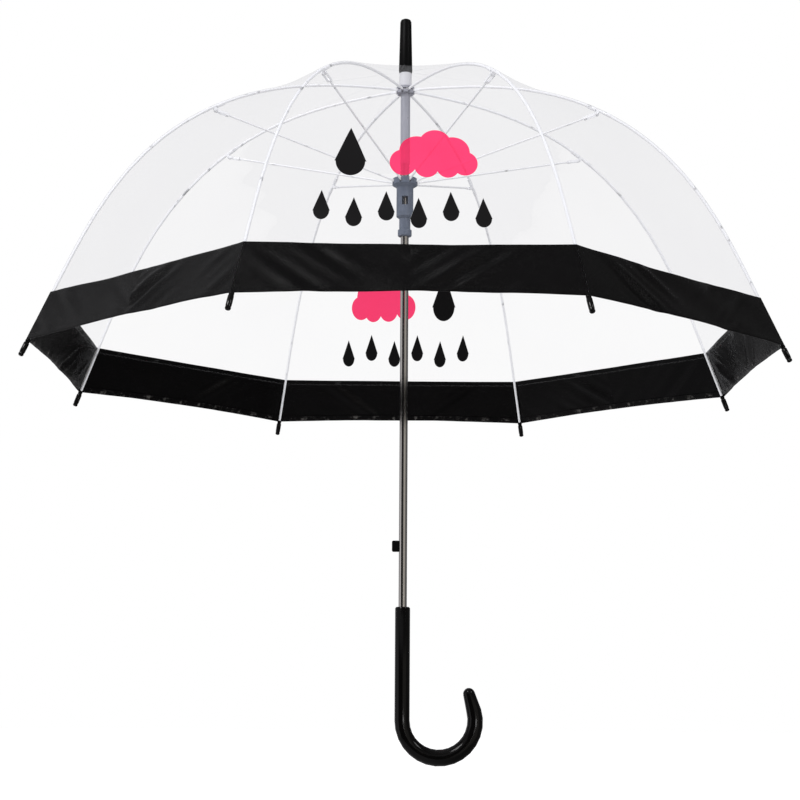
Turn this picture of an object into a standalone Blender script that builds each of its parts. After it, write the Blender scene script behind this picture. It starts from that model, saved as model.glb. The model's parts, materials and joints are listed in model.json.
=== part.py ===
"""Clear dome stick umbrella, open, standing on its crook handle.

Metres, +Z up. The origin is on the shaft's axis, half way up the straight part of the handle.
Each rib lies in its own radial plane; a rib's pieces are modelled once in the plane of +X and +Z.
"""

import math

import bmesh
import bpy
from mathutils import Matrix, Vector

MM = 0.001
NAME = "dome_umbrella"

# Overall sizes
RIB_COUNT = 8
RIB_LENGTH = 585.0 * MM
NOTCH_HEIGHT = 646.5 * MM
FERRULE_LENGTH = 64.0 * MM
HANDLE_TOP = 61.0 * MM
HANDLE_STRAIGHT = 121.5 * MM

# Fits
GAP = 0.3 * MM
HINGE_GAP = 0.7 * MM
SEAM_ANGLE = math.radians(0.04)
STEP_IN = 0.15 * MM
WELD = 0.003 * MM

# How a rib bends: its slope below the horizontal at the notch and at the tip
RIB_ROOT_SLOPE = math.radians(3.0)
RIB_TIP_SLOPE = math.radians(66.0)
RIB_BEND_SHARE = 0.85

# Rib, stretcher and their pivots
JOINT_ARC = 226.0 * MM
JOINT_TO_FLEX = 11.0 * MM
JOINT_DROP = 4.5 * MM
RIB_RADIUS = 1.5 * MM
STRETCHER_RADIUS = 1.1 * MM
EYE_RADIUS = 1.9 * MM
EYE_THICKNESS = 1.6 * MM
EYE_REACH = 9.0 * MM
WIRE_RADIUS = 0.5 * MM
PIN_RADIUS = 1.0 * MM
LUG_RADIUS = 2.0 * MM
FORK_WALL = 0.9 * MM
FORK_REACH = 12.0 * MM
BRACKET_WALL = 0.7 * MM
BRACKET_LENGTH = 10.0 * MM

# Tip cap
TIP_LENGTH = 15.5 * MM
TIP_RADIUS = 2.9 * MM
TIP_END_WALL = 4.0 * MM

# Canopy
FILM_THICKNESS = 0.4 * MM
COLLAR_WIDTH = 2.2 * MM
FILM_TOUCH_ARC = 130.0 * MM
FILM_OVER_RIB = RIB_RADIUS + 2 * GAP
BAND_WIDTH = 57.0 * MM
HEM_TO_TIP = 16.0 * MM

# Shaft, notch, washer and sleeve
SHAFT_RADIUS = 4.5 * MM
SHAFT_WALL = 0.6 * MM
SHAFT_TO_PIVOT = 4.0 * MM
NOTCH_RIM = 1.8 * MM
NOTCH_HALF = 4.0 * MM
WASHER_WALL = 2.1 * MM
WASHER_LENGTH = 16.0 * MM
SLEEVE_WALL = 0.6 * MM
SPRING_LENGTH = 15.0 * MM
SPRING_WIRE = 0.45 * MM
SPRING_TURNS = 4
SPRING_TO_CROWN = 2.5 * MM

# Ferrule
FERRULE_BASE_WALL = 2.9 * MM
FERRULE_TAPER = 1.3 * MM
FERRULE_SOLID = 14.0 * MM

# Runner, measured down from its pivots
CROWN_RIM = 5.8 * MM
CROWN_HALF = 4.5 * MM
RUNNER_WALL = 4.7 * MM
RUNNER_BODY = 36.0 * MM
NECK_WALL = 1.5 * MM
NECK_LENGTH = 14.0 * MM
FLANGE_WALL = 3.0 * MM
FLANGE_LENGTH = 8.0 * MM
WINDOW_WIDTH = 6.5 * MM
WINDOW_HEIGHT = 10.0 * MM

# Handle
HANDLE_WALL = 3.35 * MM
BEND_SWELL = 0.9 * MM
HOOK_END_TAPER = 1.7 * MM
CROOK_RADIUS = 39.4 * MM
HOOK_END_LENGTH = 25.0 * MM
HOOK_LEAN = math.radians(16.0)
SOCKET_DEPTH = 90.0 * MM

# Release button
BUTTON_HEIGHT_ABOVE_HANDLE = 66.0 * MM
BUTTON_PROUD = 7.6 * MM
BUTTON_TALL = 12.4 * MM
BUTTON_WIDE = 4.0 * MM
BUTTON_FOOT_TALL = 18.0 * MM
BUTTON_FOOT_WIDE = 5.0 * MM
BUTTON_FOOT_THICK = 1.7 * MM

ROUND_STEPS = 24
BORE_RADIUS = SHAFT_RADIUS + GAP
COLLAR_INNER = SHAFT_RADIUS + 3 * GAP
FILM_COLLAR = COLLAR_INNER + COLLAR_WIDTH
PIVOT_RADIUS = SHAFT_RADIUS + SHAFT_TO_PIVOT
NOTCH_RADIUS = PIVOT_RADIUS + NOTCH_RIM
WASHER_RADIUS = BORE_RADIUS + WASHER_WALL
SLEEVE_RADIUS = BORE_RADIUS + SLEEVE_WALL
FERRULE_BASE_RADIUS = BORE_RADIUS + FERRULE_BASE_WALL
FERRULE_TOP_RADIUS = FERRULE_BASE_RADIUS - FERRULE_TAPER
CROWN_RADIUS = PIVOT_RADIUS + CROWN_RIM
RUNNER_RADIUS = BORE_RADIUS + RUNNER_WALL
NECK_RADIUS = BORE_RADIUS + NECK_WALL
FLANGE_RADIUS = BORE_RADIUS + FLANGE_WALL
HANDLE_RADIUS = BORE_RADIUS + HANDLE_WALL
BEND_RADIUS = HANDLE_RADIUS + BEND_SWELL
HOOK_END_RADIUS = HANDLE_RADIUS - HOOK_END_TAPER
FLEX_ARC = JOINT_ARC + JOINT_TO_FLEX
WIRE_HOLE = WIRE_RADIUS + GAP
SLOT_HALF = EYE_THICKNESS / 2 + GAP
SLOT_INNER = PIVOT_RADIUS - EYE_RADIUS - GAP
FORK_GAP_HALF = RIB_RADIUS + GAP
FORK_HALF = FORK_GAP_HALF + FORK_WALL


# Rib curve


def rib_slope(arc):
    share = min(1.0, arc / (RIB_LENGTH * RIB_BEND_SHARE))
    eased = share * share * (3.0 - 2.0 * share)
    return RIB_ROOT_SLOPE + (RIB_TIP_SLOPE - RIB_ROOT_SLOPE) * eased


def rib_point(arc, offset=0.0):
    """The rib's centre line at this distance from the notch pivot, moved outward by the offset."""
    point = Vector((PIVOT_RADIUS, 0.0, NOTCH_HEIGHT))
    steps = 200
    for step in range(steps):
        slope = rib_slope(arc * (step + 0.5) / steps)
        point += Vector((math.cos(slope), 0.0, -math.sin(slope))) * arc / steps
    slope = rib_slope(arc)
    return point + Vector((math.sin(slope), 0.0, math.cos(slope))) * offset


def spread(start, end, count):
    return [start + (end - start) * step / (count - 1) for step in range(count)]


NOTCH_PIVOT = Vector((PIVOT_RADIUS, 0.0, NOTCH_HEIGHT))
JOINT_PIVOT = rib_point(JOINT_ARC, -JOINT_DROP)
FLEX_PIVOT = rib_point(FLEX_ARC)
CROWN_PIVOT = Vector((PIVOT_RADIUS, 0.0, 2 * JOINT_PIVOT.z - NOTCH_HEIGHT))
CANOPY_TOP = NOTCH_HEIGHT + NOTCH_HALF + GAP + WASHER_LENGTH + GAP
FERRULE_BOTTOM = CANOPY_TOP + FILM_THICKNESS + GAP
SHAFT_TOP = FERRULE_BOTTOM + FERRULE_LENGTH - FERRULE_SOLID - GAP
SPRING_BOTTOM = CROWN_PIVOT.z + CROWN_HALF + SPRING_TO_CROWN
SLEEVE_BOTTOM = SPRING_BOTTOM + SPRING_LENGTH + GAP
BUTTON_Z = HANDLE_TOP + BUTTON_HEIGHT_ABOVE_HANDLE
BAND_END_ARC = RIB_LENGTH - HEM_TO_TIP
BAND_START_ARC = BAND_END_ARC - BAND_WIDTH


# Scene and materials


def clear_scene():
    for obj in list(bpy.data.objects):
        bpy.data.objects.remove(obj, do_unlink=True)
    collection = bpy.data.collections.new(NAME)
    bpy.context.scene.collection.children.link(collection)
    return collection


def material(name, color, roughness, metallic=0.0, alpha=1.0):
    made = bpy.data.materials.new(name)
    made.use_nodes = True
    shader = made.node_tree.nodes["Principled BSDF"]
    shader.inputs["Base Color"].default_value = (*color, 1.0)
    shader.inputs["Roughness"].default_value = roughness
    shader.inputs["Metallic"].default_value = metallic
    shader.inputs["Alpha"].default_value = alpha
    return made


# Mesh makers. Each returns a mesh with its modifiers applied.


def baked(obj):
    """The evaluated mesh of a temporary object, which is then removed."""
    bpy.context.scene.collection.objects.link(obj)
    graph = bpy.context.evaluated_depsgraph_get()
    mesh = bpy.data.meshes.new_from_object(obj.evaluated_get(graph))
    bpy.data.objects.remove(obj, do_unlink=True)
    return mesh


def tidy(mesh):
    """Joins the doubled points of caps and seams, and turns every face outward."""
    work = bmesh.new()
    work.from_mesh(mesh)
    bmesh.ops.remove_doubles(work, verts=work.verts, dist=WELD)
    bmesh.ops.dissolve_degenerate(work, edges=work.edges, dist=WELD)
    bmesh.ops.recalc_face_normals(work, faces=work.faces)
    work.to_mesh(mesh)
    work.free()
    return mesh


def joined(base, other, operation):
    holder = bpy.data.objects.new("base", base)
    tool = bpy.data.objects.new("tool", other)
    bpy.context.scene.collection.objects.link(tool)
    boolean = holder.modifiers.new("Boolean", "BOOLEAN")
    boolean.operation = operation
    boolean.solver = "EXACT"
    boolean.object = tool
    mesh = baked(holder)
    bpy.data.objects.remove(tool, do_unlink=True)
    return tidy(mesh)


def union(base, *others):
    for other in others:
        base = joined(base, other, "UNION")
    return base


def cut(base, *others):
    for other in others:
        base = joined(base, other, "DIFFERENCE")
    return base


def from_bmesh(work):
    mesh = bpy.data.meshes.new("shape")
    work.to_mesh(mesh)
    work.free()
    return mesh


def block(low, high):
    """A box between two corners."""
    low, high = Vector(low), Vector(high)
    work = bmesh.new()
    bmesh.ops.create_cube(work, size=1.0)
    bmesh.ops.scale(work, vec=high - low, verts=work.verts)
    bmesh.ops.translate(work, vec=(low + high) / 2, verts=work.verts)
    return from_bmesh(work)


def rod(start, end, radius, sides=8):
    """A straight cylinder between two points."""
    start, end = Vector(start), Vector(end)
    turn = (end - start).to_track_quat("Z", "Y").to_matrix().to_4x4()
    work = bmesh.new()
    bmesh.ops.create_cone(
        work, cap_ends=True, segments=sides, radius1=radius, radius2=radius,
        depth=(end - start).length, matrix=Matrix.Translation((start + end) / 2) @ turn,
    )
    return from_bmesh(work)


def cross_rod(centre, radius, half):
    """A cylinder along Y, the direction of every hinge pin in the plane of a rib."""
    side = Vector((0.0, half, 0.0))
    return rod(centre - side, centre + side, radius)


def along(origin, direction, low, high, across):
    """A box that runs from low to high along a direction in the XZ plane. across is (half Y, half height)."""
    half_y, half_up = across
    mesh = block((low, -half_y, -half_up), (high, half_y, half_up))
    angle = math.atan2(-direction.z, direction.x)
    mesh.transform(Matrix.Translation(origin) @ Matrix.Rotation(angle, 4, "Y"))
    return mesh


def turned(profile, steps=ROUND_STEPS):
    """Spins a closed outline of (radius, height) points, listed top to bottom down its outer side."""
    work = bmesh.new()
    points = [work.verts.new((radius, 0.0, height)) for radius, height in profile]
    for first, second in zip(points, points[1:] + points[:1]):
        if first.co.x > 0 or second.co.x > 0:
            work.edges.new((first, second))
    obj = bpy.data.objects.new("turned", from_bmesh(work))
    screw = obj.modifiers.new("Screw", "SCREW")
    screw.steps = steps
    screw.render_steps = steps
    screw.use_merge_vertices = True
    screw.merge_threshold = 1e-6
    return tidy(baked(obj))


def tube(outer, inner, low, high):
    return turned([(outer, high), (outer, low), (inner, low), (inner, high)])


def swept(points, radius, sides_level=2, widths=None, cyclic=False):
    """A round rod along a list of points. widths scales its radius at each point."""
    curve = bpy.data.curves.new("path", "CURVE")
    curve.dimensions = "3D"
    curve.bevel_depth = radius
    curve.bevel_resolution = sides_level
    curve.use_fill_caps = not cyclic
    spline = curve.splines.new("POLY")
    spline.points.add(len(points) - 1)
    for index, place in enumerate(points):
        spline.points[index].co = (*place, 1.0)
        spline.points[index].radius = widths[index] if widths else 1.0
    spline.use_cyclic_u = cyclic
    return tidy(baked(bpy.data.objects.new("swept", curve)))


def ring(radius, height, wire):
    points = []
    for step in range(ROUND_STEPS):
        angle = math.tau * step / ROUND_STEPS
        points.append((radius * math.cos(angle), radius * math.sin(angle), height))
    return swept(points, wire, cyclic=True)


def spun_about_axis(mesh, angle):
    turned_mesh = mesh.copy()
    turned_mesh.transform(Matrix.Rotation(angle, 4, "Z"))
    return turned_mesh


# Placing


def empty(collection, name, place, azimuth=0.0, parent=None):
    """An empty on a joint's axis. place is in the plane of the rib at this azimuth."""
    made = bpy.data.objects.new(name, None)
    made.empty_display_size = 5 * MM
    world = Matrix.Rotation(azimuth, 4, "Z") @ Matrix.Translation(place)
    collection.objects.link(made)
    made.parent = parent
    made.matrix_world = world
    bpy.context.view_layer.update()
    return made


def node(collection, name, mesh, look, parent=None, smooth=True):
    """A named sub-part. Its mesh is in the coordinates of its parent empty, or of the scene."""
    made = bpy.data.objects.new(name, mesh)
    collection.objects.link(made)
    made.parent = parent
    if not mesh.materials:
        mesh.materials.append(look)
    if smooth:
        mesh.polygons.foreach_set("use_smooth", [True] * len(mesh.polygons))
        mesh.set_sharp_from_angle(angle=math.radians(35))
    return made


# Pieces in the plane of one rib, relative to the pivot they turn on


def eye_strip(pivot, direction):
    """A flat tongue with a hole for the ring wire."""
    disc = cross_rod(pivot, EYE_RADIUS, EYE_THICKNESS / 2)
    across = (EYE_THICKNESS / 2 - STEP_IN, EYE_RADIUS * 0.7)
    strip = along(pivot, direction, 0.0, EYE_REACH + 2 * MM, across)
    return union(disc, strip)


def inner_rib_mesh():
    arcs = spread(EYE_REACH, FLEX_ARC - HINGE_GAP, 12)
    mesh = swept([rib_point(arc) for arc in arcs], RIB_RADIUS)
    root = Vector((math.cos(RIB_ROOT_SLOPE), 0.0, -math.sin(RIB_ROOT_SLOPE)))
    slope = rib_slope(JOINT_ARC)
    outward = Vector((math.cos(slope), 0.0, -math.sin(slope)))
    inward = Vector((-math.sin(slope), 0.0, -math.cos(slope)))
    on_rib = rib_point(JOINT_ARC)
    under_rib = on_rib + inward * (BRACKET_WALL - 0.1 * MM)
    bracket_end = LUG_RADIUS + MM
    bracket = rod(
        under_rib - outward * (BRACKET_LENGTH + bracket_end), under_rib - outward * bracket_end,
        RIB_RADIUS + BRACKET_WALL,
    )
    lug = along(on_rib, inward, 0.0, JOINT_DROP, (RIB_RADIUS - STEP_IN, LUG_RADIUS - STEP_IN))
    boss = cross_rod(JOINT_PIVOT, LUG_RADIUS, RIB_RADIUS)
    pin = cross_rod(JOINT_PIVOT, PIN_RADIUS, FORK_HALF + 0.2 * MM)
    mesh = union(mesh, eye_strip(NOTCH_PIVOT, root), bracket, lug, boss, pin)
    mesh = cut(mesh, cross_rod(NOTCH_PIVOT, WIRE_HOLE, EYE_THICKNESS))
    mesh.transform(Matrix.Translation(-NOTCH_PIVOT))
    return mesh


def outer_rib_mesh():
    arcs = spread(FLEX_ARC + HINGE_GAP, RIB_LENGTH - TIP_END_WALL - GAP, 13)
    mesh = swept([rib_point(arc) for arc in arcs], RIB_RADIUS)
    mesh.transform(Matrix.Translation(-FLEX_PIVOT))
    return mesh


def tip_mesh():
    """A cap with a blind hole, turned about the straight end of the rib."""
    bore = RIB_RADIUS + GAP
    rim = TIP_LENGTH - 0.8 * MM
    profile = [
        (bore, TIP_LENGTH), (TIP_RADIUS - 0.5 * MM, TIP_LENGTH), (TIP_RADIUS, rim),
        (TIP_RADIUS, 5 * MM), (TIP_RADIUS * 0.86, 3 * MM), (TIP_RADIUS, 1.8 * MM),
        (TIP_RADIUS * 0.8, 0.5 * MM), (TIP_RADIUS * 0.4, 0.0), (0.0, 0.0),
        (0.0, TIP_END_WALL), (bore, TIP_END_WALL),
    ]
    mesh = turned(profile, steps=10)
    slope = rib_slope(RIB_LENGTH)
    mesh.transform(Matrix.Rotation(math.pi / 2 + slope - math.pi, 4, "Y"))
    mesh.transform(Matrix.Translation(rib_point(RIB_LENGTH) - FLEX_PIVOT))
    return mesh


def stretcher_mesh():
    """A rod with a fork over the rib's lug at one end and an eye on the crown's wire at the other."""
    direction = (CROWN_PIVOT - JOINT_PIVOT).normalized()
    mesh = rod(
        JOINT_PIVOT + direction * (FORK_REACH + MM), CROWN_PIVOT - direction * EYE_REACH,
        STRETCHER_RADIUS,
    )
    fork = along(JOINT_PIVOT, direction, 0.0, FORK_REACH + 3 * MM, (FORK_HALF - STEP_IN, 1.4 * MM))
    ends = cross_rod(JOINT_PIVOT, LUG_RADIUS - 0.1 * MM, FORK_HALF)
    slot = along(JOINT_PIVOT, direction, -6 * MM, FORK_REACH, (FORK_GAP_HALF, 4 * MM))
    mesh = union(mesh, cut(union(fork, ends), slot), eye_strip(CROWN_PIVOT, -direction))
    mesh = cut(
        mesh, cross_rod(JOINT_PIVOT, PIN_RADIUS + GAP, 2 * FORK_HALF),
        cross_rod(CROWN_PIVOT, WIRE_HOLE, EYE_THICKNESS),
    )
    mesh.transform(Matrix.Translation(-JOINT_PIVOT))
    return mesh


def panel_mesh(profile, pivot):
    """One flat-sided gore between two ribs, from a line of (radius, height) points near one rib."""
    sector = math.tau / RIB_COUNT
    work = bmesh.new()
    points = [work.verts.new((radius, 0.0, height)) for radius, height in profile]
    for first, second in zip(points, points[1:]):
        work.edges.new((first, second))
    bmesh.ops.rotate(work, verts=work.verts, matrix=Matrix.Rotation(SEAM_ANGLE, 3, "Z"))
    obj = bpy.data.objects.new("panel", from_bmesh(work))
    screw = obj.modifiers.new("Screw", "SCREW")
    screw.angle = sector - 2 * SEAM_ANGLE
    screw.steps = 1
    screw.render_steps = 1
    solid = obj.modifiers.new("Solidify", "SOLIDIFY")
    solid.thickness = FILM_THICKNESS
    solid.offset = 1.0
    solid.use_even_offset = True
    mesh = tidy(baked(obj))
    mesh.transform(Matrix.Translation(-pivot))
    return mesh


def film_profile():
    arcs = spread(FILM_TOUCH_ARC, BAND_START_ARC - GAP, 16)
    points = [rib_point(arc, FILM_OVER_RIB) for arc in arcs]
    collar = [(COLLAR_INNER, CANOPY_TOP), (FILM_COLLAR, CANOPY_TOP)]
    return collar + [(point.x, point.z) for point in points]


def band_profile():
    arcs = (BAND_START_ARC, BAND_END_ARC)
    points = [rib_point(arc, FILM_OVER_RIB) for arc in arcs]
    return [(point.x, point.z) for point in points]


# Pieces on the shaft


def crown_cutters(floor, ceiling, height):
    """The eight slots that the eyes turn in."""
    slots = []
    for index in range(RIB_COUNT):
        slot = block(
            (SLOT_INNER, -SLOT_HALF, height + floor), (3 * PIVOT_RADIUS, SLOT_HALF, height + ceiling)
        )
        slots.append(spun_about_axis(slot, rib_azimuth(index)))
    return slots


def notch_mesh():
    bevel = 0.6 * MM
    top, bottom = NOTCH_HEIGHT + NOTCH_HALF, NOTCH_HEIGHT - NOTCH_HALF
    groove_top, groove_bottom = NOTCH_HEIGHT + WIRE_HOLE, NOTCH_HEIGHT - WIRE_HOLE
    mesh = turned([
        (WASHER_RADIUS, top), (NOTCH_RADIUS - bevel, top), (NOTCH_RADIUS, top - bevel),
        (NOTCH_RADIUS, groove_top), (PIVOT_RADIUS - WIRE_HOLE, groove_top),
        (PIVOT_RADIUS - WIRE_HOLE, groove_bottom), (NOTCH_RADIUS, groove_bottom),
        (NOTCH_RADIUS, bottom), (BORE_RADIUS, bottom), (BORE_RADIUS, top),
    ])
    return cut(mesh, *crown_cutters(-3 * NOTCH_HALF, EYE_RADIUS + GAP, NOTCH_HEIGHT))


def runner_mesh():
    pivot = CROWN_PIVOT.z
    top, under = pivot + CROWN_HALF, pivot - CROWN_HALF
    body_end = under - RUNNER_BODY
    neck_end = body_end - NECK_LENGTH
    bottom = neck_end - FLANGE_LENGTH
    bevel = 0.8 * MM
    inner, outer = PIVOT_RADIUS - WIRE_HOLE, PIVOT_RADIUS + WIRE_HOLE
    mesh = turned([
        (outer, pivot - WIRE_HOLE), (outer, top), (CROWN_RADIUS - bevel, top),
        (CROWN_RADIUS, top - bevel), (CROWN_RADIUS, under + 2 * bevel),
        (RUNNER_RADIUS + bevel, under - bevel), (RUNNER_RADIUS, under - 3 * bevel),
        (RUNNER_RADIUS, body_end + bevel), (NECK_RADIUS, body_end - 2 * bevel),
        (NECK_RADIUS, neck_end), (FLANGE_RADIUS, neck_end - bevel),
        (FLANGE_RADIUS, bottom + bevel), (FLANGE_RADIUS - bevel, bottom),
        (BORE_RADIUS, bottom), (BORE_RADIUS, top), (inner, top), (inner, pivot - WIRE_HOLE),
    ])
    window_middle = under - RUNNER_BODY / 2
    window = block(
        (-WINDOW_WIDTH / 2, -2 * RUNNER_RADIUS, window_middle - WINDOW_HEIGHT / 2),
        (WINDOW_WIDTH / 2, -SHAFT_RADIUS / 2, window_middle + WINDOW_HEIGHT / 2),
    )
    return cut(mesh, window, *crown_cutters(-EYE_RADIUS - GAP, 3 * CROWN_HALF, pivot))


def spring_mesh():
    steps = 14
    usable = SPRING_LENGTH - 2 * SPRING_WIRE
    radius = BORE_RADIUS + SPRING_WIRE
    points = []
    for step in range(SPRING_TURNS * steps + 1):
        angle = math.tau * step / steps
        height = SPRING_BOTTOM + SPRING_WIRE + usable * step / (SPRING_TURNS * steps)
        points.append((radius * math.cos(angle), radius * math.sin(angle), height))
    return swept(points, SPRING_WIRE, sides_level=1)


def ferrule_mesh():
    top = FERRULE_BOTTOM + FERRULE_LENGTH
    dome = 3.5 * MM
    return turned([
        (0.0, top), (FERRULE_TOP_RADIUS * 0.5, top), (FERRULE_TOP_RADIUS * 0.85, top - dome * 0.35),
        (FERRULE_TOP_RADIUS, top - dome), (FERRULE_BASE_RADIUS, FERRULE_BOTTOM + 2 * MM),
        (FERRULE_BASE_RADIUS - 0.4 * MM, FERRULE_BOTTOM), (BORE_RADIUS, FERRULE_BOTTOM),
        (BORE_RADIUS, top - FERRULE_SOLID), (0.0, top - FERRULE_SOLID),
    ])


def shaft_mesh():
    low = HANDLE_TOP - SOCKET_DEPTH + GAP
    mesh = tube(SHAFT_RADIUS, SHAFT_RADIUS - SHAFT_WALL, low, SHAFT_TOP)
    slot_high = BUTTON_TALL / 2 + GAP
    slot_wide = BUTTON_WIDE / 2 + GAP
    slot = block(
        (-2 * SHAFT_RADIUS, -slot_wide, BUTTON_Z - slot_high), (0.0, slot_wide, BUTTON_Z + slot_high)
    )
    return cut(mesh, slot)


def button_mesh():
    """A rounded key through the shaft's slot, with a wider foot inside the tube."""
    face = -SHAFT_RADIUS - BUTTON_PROUD
    foot_back = -0.9 * MM
    half_tall = BUTTON_TALL / 2
    key = block((face, -BUTTON_WIDE / 2, -half_tall), (foot_back, BUTTON_WIDE / 2, half_tall))
    obj = bpy.data.objects.new("key", key)
    bevel = obj.modifiers.new("Bevel", "BEVEL")
    bevel.width = 1.8 * MM
    bevel.segments = 4
    foot = block(
        (foot_back - BUTTON_FOOT_THICK, -BUTTON_FOOT_WIDE / 2, -BUTTON_FOOT_TALL / 2),
        (foot_back, BUTTON_FOOT_WIDE / 2, BUTTON_FOOT_TALL / 2),
    )
    return union(baked(obj), foot)


def handle_path():
    """(points, radii) down the straight grip, round the crook and up its rounded end."""
    bottom = HANDLE_TOP - HANDLE_STRAIGHT
    edge = 1.5 * MM
    points = [Vector((0, 0, HANDLE_TOP)), Vector((0, 0, HANDLE_TOP - edge)), Vector((0, 0, bottom))]
    radii = [HANDLE_RADIUS - edge * 0.7, HANDLE_RADIUS, HANDLE_RADIUS]
    turns = 16
    sweep = math.pi + HOOK_LEAN
    for step in range(1, turns + 1):
        angle = math.pi + sweep * step / turns
        points.append(Vector((
            CROOK_RADIUS * (1 + math.cos(angle)), 0.0, bottom + CROOK_RADIUS * math.sin(angle),
        )))
        rise = math.sin(math.pi * (step / turns) ** 1.3)
        radii.append(HANDLE_RADIUS + (BEND_RADIUS - HANDLE_RADIUS) * rise)
    direction = Vector((-math.sin(HOOK_LEAN), 0.0, math.cos(HOOK_LEAN)))
    last = points[-1]
    points.append(last + direction * (HOOK_END_LENGTH - HOOK_END_RADIUS))
    radii.append(HOOK_END_RADIUS)
    for share in (0.4, 0.7, 0.9, 1.0):
        points.append(last + direction * (HOOK_END_LENGTH - HOOK_END_RADIUS * (1 - share)))
        radii.append(max(0.12, math.sqrt(1 - share * share)) * HOOK_END_RADIUS)
    return points, radii


def handle_mesh():
    points, radii = handle_path()
    widths = [radius / HANDLE_RADIUS for radius in radii]
    mesh = swept(points, HANDLE_RADIUS, sides_level=6, widths=widths)
    socket = rod(
        (0, 0, HANDLE_TOP - SOCKET_DEPTH), (0, 0, HANDLE_TOP + 10 * MM), BORE_RADIUS, ROUND_STEPS
    )
    return cut(mesh, socket)


def rib_azimuth(index):
    """The first rib is half a sector round from +X, so that a flat panel faces the front."""
    return math.tau * (index + 0.5) / RIB_COUNT


def build_stem(collection, looks):
    washer_low = NOTCH_HEIGHT + NOTCH_HALF + GAP
    node(collection, "shaft", shaft_mesh(), looks["steel"])
    node(collection, "handle", handle_mesh(), looks["gloss_black"])
    node(collection, "ferrule", ferrule_mesh(), looks["satin_black"])
    washer = tube(WASHER_RADIUS, BORE_RADIUS, washer_low, washer_low + WASHER_LENGTH)
    node(collection, "top_washer", washer, looks["milky"])
    node(collection, "top_notch", notch_mesh(), looks["smoke"])
    node(collection, "notch_wire", ring(PIVOT_RADIUS, NOTCH_HEIGHT, WIRE_RADIUS), looks["steel"])
    sleeve = tube(SLEEVE_RADIUS, BORE_RADIUS, SLEEVE_BOTTOM, NOTCH_HEIGHT - NOTCH_HALF - GAP)
    node(collection, "stop_sleeve", sleeve, looks["smoke"])
    node(collection, "buffer_spring", spring_mesh(), looks["steel"])
    button = node(collection, "release_button", button_mesh(), looks["satin_black"])
    button.location = (0.0, 0.0, BUTTON_Z)


def build_runner(collection, looks):
    """The runner turns against stretcher 1, so its pivot is on that stretcher's place on the crown."""
    pivot = empty(collection, "runner_pivot", CROWN_PIVOT, rib_azimuth(0))
    runner, wire = runner_mesh(), ring(PIVOT_RADIUS, CROWN_PIVOT.z, WIRE_RADIUS)
    for mesh in (runner, wire):
        mesh.transform(pivot.matrix_world.inverted())
    node(collection, "runner", runner, looks["smoke"], pivot)
    node(collection, "runner_wire", wire, looks["steel"], pivot)


def build_ribs(collection, looks):
    inner, outer, tip = inner_rib_mesh(), outer_rib_mesh(), tip_mesh()
    stretcher = stretcher_mesh()
    film = panel_mesh(film_profile(), NOTCH_PIVOT)
    band = panel_mesh(band_profile(), FLEX_PIVOT)
    for index in range(RIB_COUNT):
        azimuth = rib_azimuth(index)
        label = str(index + 1)
        fold = empty(collection, "rib_pivot_" + label, NOTCH_PIVOT, azimuth)
        flex = empty(collection, "rib_flex_" + label, FLEX_PIVOT, azimuth, fold)
        joint = empty(collection, "stretcher_pivot_" + label, JOINT_PIVOT, azimuth, fold)
        node(collection, "rib_inner_" + label, inner, looks["white_metal"], fold)
        node(collection, "rib_outer_" + label, outer, looks["white_metal"], flex)
        node(collection, "rib_tip_" + label, tip, looks["gloss_black"], flex)
        node(collection, "stretcher_" + label, stretcher, looks["white_metal"], joint)
        node(collection, "canopy_film_" + label, film, looks["film"], fold, smooth=False)
        node(collection, "canopy_band_" + label, band, looks["satin_black"], flex, smooth=False)


def main():
    collection = clear_scene()
    looks = {
        "steel": material("steel", (0.62, 0.62, 0.64), 0.2, 1.0),
        "white_metal": material("white_metal", (0.8, 0.82, 0.84), 0.35, 0.6),
        "gloss_black": material("gloss_black", (0.01, 0.01, 0.012), 0.15),
        "satin_black": material("satin_black", (0.015, 0.013, 0.014), 0.45),
        "smoke": material("smoke", (0.42, 0.47, 0.56), 0.35, 0.0, 0.85),
        "milky": material("milky", (0.85, 0.86, 0.9), 0.3, 0.0, 0.7),
        "film": material("film", (0.93, 0.93, 0.96), 0.15, 0.0, 0.22),
    }
    build_stem(collection, looks)
    build_ribs(collection, looks)
    build_runner(collection, looks)


main()
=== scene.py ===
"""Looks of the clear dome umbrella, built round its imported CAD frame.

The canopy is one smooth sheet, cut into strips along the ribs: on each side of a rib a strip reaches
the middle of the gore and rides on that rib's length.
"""

import json
import math

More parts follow.
